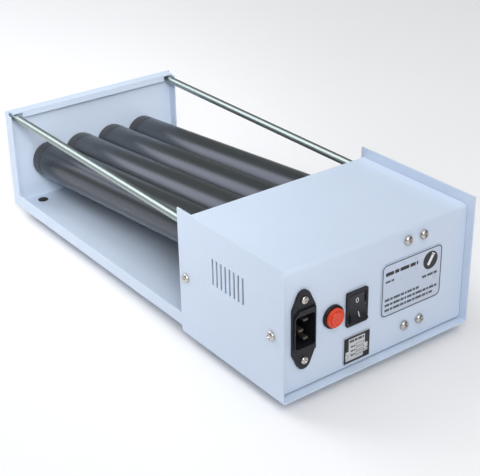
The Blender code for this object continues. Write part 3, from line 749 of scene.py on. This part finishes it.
def ring_mark(name, matrix, half_width, half_height, line):
    bm = bmesh.new()
    segments = 40
    rings = []
    for inset, lift in ((0, MARK_SINK), (0, MARK_LIFT), (line, MARK_LIFT), (line, MARK_SINK)):
        ring = []
        for i in range(segments):
            angle = 2 * math.pi * i / segments
            ring.append(bm.verts.new(((half_width - inset) * MM * math.cos(angle),
                                      (half_height - inset) * MM * math.sin(angle), lift * MM)))
        rings.append(ring)
    loft(bm, rings)
    bmesh.ops.transform(bm, matrix=matrix, verts=bm.verts)
    return new_piece(name, bm, ["white_ink"])


def dress_drive():
    settle(refined("gearbox", ["alloy"], 0.3), "base", "aluminium", "gearbox")
    settle(refined("motor_can", ["motor"], 0.4, 3), "base", "steel", "motor_can")
    settle(refined("motor_pinion", ["brass"], 0.12), "pinion", "brass", "motor_pinion")
    for number in (1, 2, 3):
        gear = refined(f"idler_gear_{number}", ["acetal"], 0.15)
        settle(gear, f"idler_{number}", "acetal", f"idler_gear_{number}")


def dress_feet():
    for number in range(1, 5):
        foot = refined(f"foot_{number}", ["rubber"], 0.5, 3)
        settle(foot, "base", "rubber", f"foot_{number}")


# ---------------------------------------------------------------- printed plates

def frame_mark(name, corners, line, radius, matrix, material):
    """A printed outline: a rounded rectangle with a rounded hole."""
    left, low, right, high = corners
    outer = rounded_path(rectangle(left, low, right, high), radius)
    inner = rounded_path(rectangle(left + line, low + line, right - line, high - line),
                         max(radius - line, 0.05))
    bm = bmesh.new()
    rings = []
    for path, height in ((outer, 0), (outer, PRINT_LIFT), (inner, PRINT_LIFT), (inner, 0)):
        rings.append([bm.verts.new((u * MM, v * MM, height * MM)) for u, v in path])
    loft(bm, rings)
    bmesh.ops.transform(bm, matrix=matrix, verts=bm.verts)
    settle(new_piece(name, bm, [material]), "base", "black_plastic")


def strokes(name, bars, matrix, material):
    """Many small printed bars as one piece."""
    bm = bmesh.new()
    for left, low, right, high in bars:
        corners = rectangle(left, low, right, high)
        base = [bm.verts.new((u * MM, v * MM, 0)) for u, v in corners]
        top = [bm.verts.new((u * MM, v * MM, PRINT_LIFT * MM)) for u, v in corners]
        bm.faces.new(list(reversed(base)))
        bm.faces.new(top)
        for i in range(4):
            j = (i + 1) % 4
            bm.faces.new((base[i], base[j], top[j], top[i]))
    bmesh.ops.transform(bm, matrix=matrix, verts=bm.verts)
    settle(new_piece(name, bm, [material]), "base", "black_plastic")


def dashes(left, right, low, height, lengths, gap):
    """Bars of the given repeating lengths that fill a line from left to right."""
    bars = []
    index = 0
    while left < right - 0.3:
        end = min(left + lengths[index % len(lengths)], right)
        bars.append((left, low, end, low + height))
        left = end + gap
        index += 1
    return bars


def dress_label():
    """Blank printed plate: an outline, plain bars where print would be, and a plain disc."""
    low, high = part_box("label_plate")
    width, height = (high.y - low.y) / MM, (high.z - low.z) / MM
    face = panel_matrix(high.x, low.y, low.z)
    plate = slab("label_sheet", rounded_path(rectangle(0, 0, width, height), 4.5, 8), -0.4, 0,
                 face, ["label"], 0.12)
    settle(plate, "base", "painted_sheet", "label_plate")
    inset, margin = 0.6, 3.6
    frame_mark("label_outline", (inset, inset, width - inset, height - inset), 0.75, 3.9, face,
               "ink")
    strokes("label_heading", dashes(margin, 34.0, height - 9.4, 2.7, (7.5, 4.0, 8.5, 5.0), 1.0),
            face, "ink")
    strokes("label_subheading", dashes(margin, 12.0, height - 14.8, 1.6, (4.6, 2.6), 0.8), face,
            "grey_ink")
    small = []
    for row, end in enumerate((36.0, width - 3.4, width - 8.0)):
        small += dashes(margin, end, 12.6 - row * 4.0, 1.9, (4.4, 2.4, 6.0, 3.2, 1.8), 0.7)
    strokes("label_lines", small, face, "grey_ink")
    strokes("label_note", dashes(width - 19.0, width - 4.5, 19.4, 1.9, (4.2, 5.4), 0.9), face,
            "grey_ink")
    disc_place = panel_matrix(high.x, high.y - 11.6 * MM, high.z - 10.2 * MM)
    disc = slab("label_disc", circle(7.0, 48), 0, PRINT_LIFT, disc_place, ["ink"])
    settle(disc, "base", "black_plastic")
    tube_icon(disc_place)


def circle(radius, sides):
    turn = 2 * math.pi / sides
    return [(radius * math.cos(turn * i), radius * math.sin(turn * i)) for i in range(sides)]


def tube_icon(place):
    """A plain sample tube lying at a slant, in white on the disc."""
    leaning = place @ Matrix.Rotation(math.radians(-32), 4, "Z")
    half, length = 1.3, 4.3
    body = [(-half, length), (half, length)]
    body += [(half * math.cos(a), -length + half + half * math.sin(a))
             for a in [-math.pi * i / 10 for i in range(11)]]
    icon = slab("label_tube_icon", body, PRINT_LIFT, 2 * PRINT_LIFT, leaning, ["white_ink"])
    settle(icon, "base", "black_plastic")
    cap = slab("label_tube_cap", rectangle(-1.8, length + 0.4, 1.8, length + 1.3), PRINT_LIFT,
               2 * PRINT_LIFT, leaning, ["white_ink"])
    settle(cap, "base", "black_plastic")


def dress_serial_plate():
    """Small aluminium plate with a dark printed border and blank boxes, held by two rivets."""
    low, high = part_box("serial_plate")
    width, height = (high.y - low.y) / MM, (high.z - low.z) / MM
    thickness = 0.6
    place = panel_matrix(low.x + thickness * MM, low.y, low.z)
    plate = slab("serial_plate_sheet", rounded_path(rectangle(0, 0, width, height), 0.9, 5),
                 -thickness, 0, place, ["plate"], 0.15)
    settle(plate, "base", "aluminium", "serial_plate")
    inset, border, pitch = 0.3, 1.5, 3.4
    frame_mark("serial_border", (inset, inset, width - inset, height - inset), 1.7, 0.8, place,
               "ink")
    strokes("serial_blocks", [(border, height - 11.5, 4.6, height - border),
                              (width - 4.6, height - 9.5, width - border, height - border),
                              (width - 6.0, border, width - border, 4.8)], place, "ink")
    strokes("serial_heading", dashes(5.4, width - 5.4, height - 5.0, 2.0, (4.0, 2.6, 3.4), 0.6),
            place, "grey_ink")
    rows = []
    for row in range(3):
        rows += dashes(6.6, 10.4, height - 9.2 - row * pitch, 1.3, (2.2, 1.4), 0.5)
    strokes("serial_rows", rows, place, "grey_ink")
    for number in range(3):
        level = height - 9.8 - number * pitch
        frame_mark(f"serial_box_{number + 1}", (11.2, level, width - 5.6, level + 2.5), 0.35, 0.3,
                   place, "grey_ink")
    for number, (across, up) in enumerate(((3.0, 5.5), (width - 3.5, 6.5)), 1):
        origin = place @ Vector((across * MM, up * MM, 0))
        dome = [(0, 0.9), (0.6, 0.85), (1.1, 0.65), (1.5, 0.3), (1.6, 0.0), (0, 0)]
        rivet = revolve(f"serial_rivet_{number}", dome, origin, (1, 0, 0), 28, ["steel"])
        settle(rivet, "base", "aluminium")


def dress_stud_heads():
    """Riveted ends of the three idler studs, on the rollers' side of the bulkhead."""
    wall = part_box("bulkhead")[0].x
    for number in (1, 2, 3):
        joint = JOINTS[f"idler_{number}_spin"]
        start, way = Vector(joint["pos_m"]), Vector(joint["axis"])
        spot = start - way * ((start.x - wall) / way.x)
        dome = [(0, 1.2), (1.4, 1.1), (2.5, 0.75), (3.2, 0.2), (3.3, 0.0), (0, 0)]
        head = revolve(f"stud_rivet_{number}", dome, spot, (-1, 0, 0), 32, ["steel"])
        settle(head, "base", "steel")


# ---------------------------------------------------------------- floor, light and camera

def add_floor():
    bm = bmesh.new()
    bmesh.ops.create_grid(bm, x_segments=FLOOR_ROWS, y_segments=FLOOR_ROWS, size=FLOOR_REACH)
    floor = new_piece("floor", bm, ["floor"])


def add_softbox(name, place, size, power, colour):
    data = bpy.data.lights.new(name, "AREA")
    data.shape = "RECTANGLE"
    data.size, data.size_y = size
    data.energy = power
    data.color = colour
    hang_light(data, place, LIGHT_AIM)


def hang_light(data, place, aim):
    light = bpy.data.objects.new(data.name, data)
    light.location = place
    light.rotation_euler = (Vector(aim) - Vector(place)).to_track_quat("-Z", "Y").to_euler()
    bpy.context.scene.collection.objects.link(light)


def add_lights():
    world = bpy.data.worlds.new("studio")
    bpy.context.scene.world = world
    world.use_nodes = True
    backdrop = world.node_tree.nodes["Background"]
    backdrop.inputs["Color"].default_value = WORLD_COLOUR
    backdrop.inputs["Strength"].default_value = WORLD_STRENGTH
    add_softbox("rear_softbox", REAR_PLACE, REAR_SIZE, REAR_POWER, REAR_COLOUR)
    add_softbox("key_softbox", KEY_PLACE, KEY_SIZE, KEY_POWER, KEY_COLOUR)
    ceiling = bpy.data.lights.new("ceiling", "SUN")
    ceiling.energy = CEILING_STRENGTH
    ceiling.angle = CEILING_ANGLE
    hang_light(ceiling, (0, 0, CEILING_HEIGHT), (0, 0, 0))
    fill = bpy.data.lights.new("end_plate_fill", "SPOT")
    fill.energy = FILL_POWER
    fill.spot_size = FILL_ANGLE
    fill.spot_blend = 1.0
    fill.shadow_soft_size = FILL_RADIUS
    hang_light(fill, FILL_PLACE, FILL_AIM)


def add_camera():
    data = bpy.data.cameras.new("camera")
    data.sensor_fit = "HORIZONTAL"
    data.sensor_width = SENSOR
    data.lens = LENS
    data.clip_start = 0.01
    data.dof.use_dof = False
    camera = bpy.data.objects.new("camera", data)
    azimuth, elevation = CAMERA_AZIMUTH, CAMERA_ELEVATION
    back = Vector((math.sin(azimuth) * math.cos(elevation),
                   -math.cos(azimuth) * math.cos(elevation), math.sin(elevation)))
    right = Vector((math.cos(azimuth), math.sin(azimuth), 0))
    up = back.cross(right)
    turn = Matrix.Rotation(CAMERA_ROLL, 3, back)
    right, up = turn @ right, turn @ up
    basis = Matrix((right, up, back)).transposed().to_4x4()
    camera.matrix_world = Matrix.Translation(Vector(CAMERA_PLACE)) @ basis
    bpy.context.scene.collection.objects.link(camera)
    bpy.context.scene.camera = camera


MATERIALS = paint_and_metals() | plastics_and_rubber() | print_and_floor()
bpy.context.scene.view_settings.view_transform = "Standard"
add_camera()
add_lights()
add_floor()
dress_sheet_metal()
dress_rollers()
dress_rods()
dress_screws()
dress_inlet()
dress_button()
dress_rocker()
dress_label()
dress_serial_plate()
dress_stud_heads()
dress_drive()
dress_feet()
